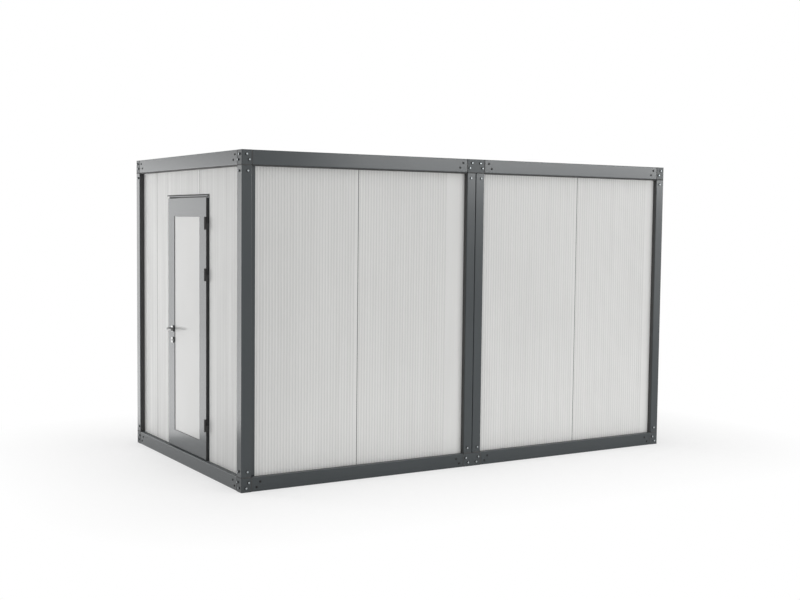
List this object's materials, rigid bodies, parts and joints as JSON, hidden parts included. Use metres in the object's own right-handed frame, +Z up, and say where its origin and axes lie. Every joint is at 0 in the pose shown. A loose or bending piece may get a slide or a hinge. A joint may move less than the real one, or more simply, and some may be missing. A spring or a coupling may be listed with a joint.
{
  "type": "portable site cabin",
  "caption": "Portable site cabin with a bolted steel frame, ribbed light grey wall panels, a flat roof and an outward-opening hinged door in its end wall.",
  "frame": {"origin": "on the ground under the middle of the steel frame", "axes": "+Z up, +X along the length away from the door end, -Y out of the front long wall"},
  "size_m": [4.04, 2.22, 2.44],
  "materials": {
    "frame_paint": "satin",
    "wall_panel": "satin",
    "roof_sheet": "satin",
    "floor_deck": "matte",
    "door_metal": "satin",
    "door_infill": "satin",
    "hinge_black": "satin",
    "handle_steel": "brushed",
    "seal_rubber": "matte"
  },
  "bodies": {
    "cabin": {"back_floor_rails": "frame_paint", "back_joint_posts": "frame_paint", "back_roof_rails": "frame_paint", "back_wall_panels_left_bay": "wall_panel", "back_wall_panels_right_bay": "wall_panel", "bottom_corner_blocks": "frame_paint", "bottom_joint_blocks": "frame_paint", "corner_post_back_left": "frame_paint", "corner_post_back_right": "frame_paint", "corner_post_front_left": "frame_paint", "corner_post_front_right": "frame_paint", "door_end_far_panel": "wall_panel", "door_end_floor_rail": "frame_paint", "door_end_hinge_side_panel": "wall_panel", "door_end_lock_side_panel": "wall_panel", "door_end_over_door_panels": "wall_panel", "door_end_roof_rail": "frame_paint", "door_frame_head": "door_metal", "door_frame_jambs": "door_metal", "door_threshold": "door_metal", "far_end_floor_rail": "frame_paint", "far_end_roof_rail": "frame_paint", "far_end_wall_panels": "wall_panel", "floor_cassettes": "floor_deck", "front_floor_rails": "frame_paint", "front_joint_posts": "frame_paint", "front_roof_rails": "frame_paint", "front_wall_panel_1": "wall_panel", "front_wall_panel_2": "wall_panel", "front_wall_panel_3": "wall_panel", "front_wall_panel_4": "wall_panel", "hinge_frame_halves": "hinge_black", "joint_floor_beams": "frame_paint", "joint_roof_beams": "frame_paint", "joint_seals": "seal_rubber", "roof_cassettes": "roof_sheet", "top_corner_blocks": "frame_paint", "top_joint_blocks": "frame_paint"},
    "door": {"door_leaf_stiles": "door_metal", "door_leaf_rails": "door_metal", "door_leaf_infill": "door_infill", "hinge_leaf_halves": "hinge_black", "handle_roses": "handle_steel", "lock_cylinder": "handle_steel"},
    "handle": {"lever_handles": "handle_steel"}
  },
  "joints": [
    {"name": "door_swing", "type": "hinge", "parent": "cabin", "child": "door", "pos_m": [-1.99, -0.4095, 1.11], "axis": [0, 0, 1], "range_deg": [0, 170]},
    {"name": "handle_turn", "type": "hinge", "parent": "door", "child": "handle", "pos_m": [-1.9575, 0.294, 1.063], "axis": [1, 0, 0], "range_deg": [0, 45], "stiffness_Nm_per_rad": 1.5, "springref_deg": -28.65}
  ]
}
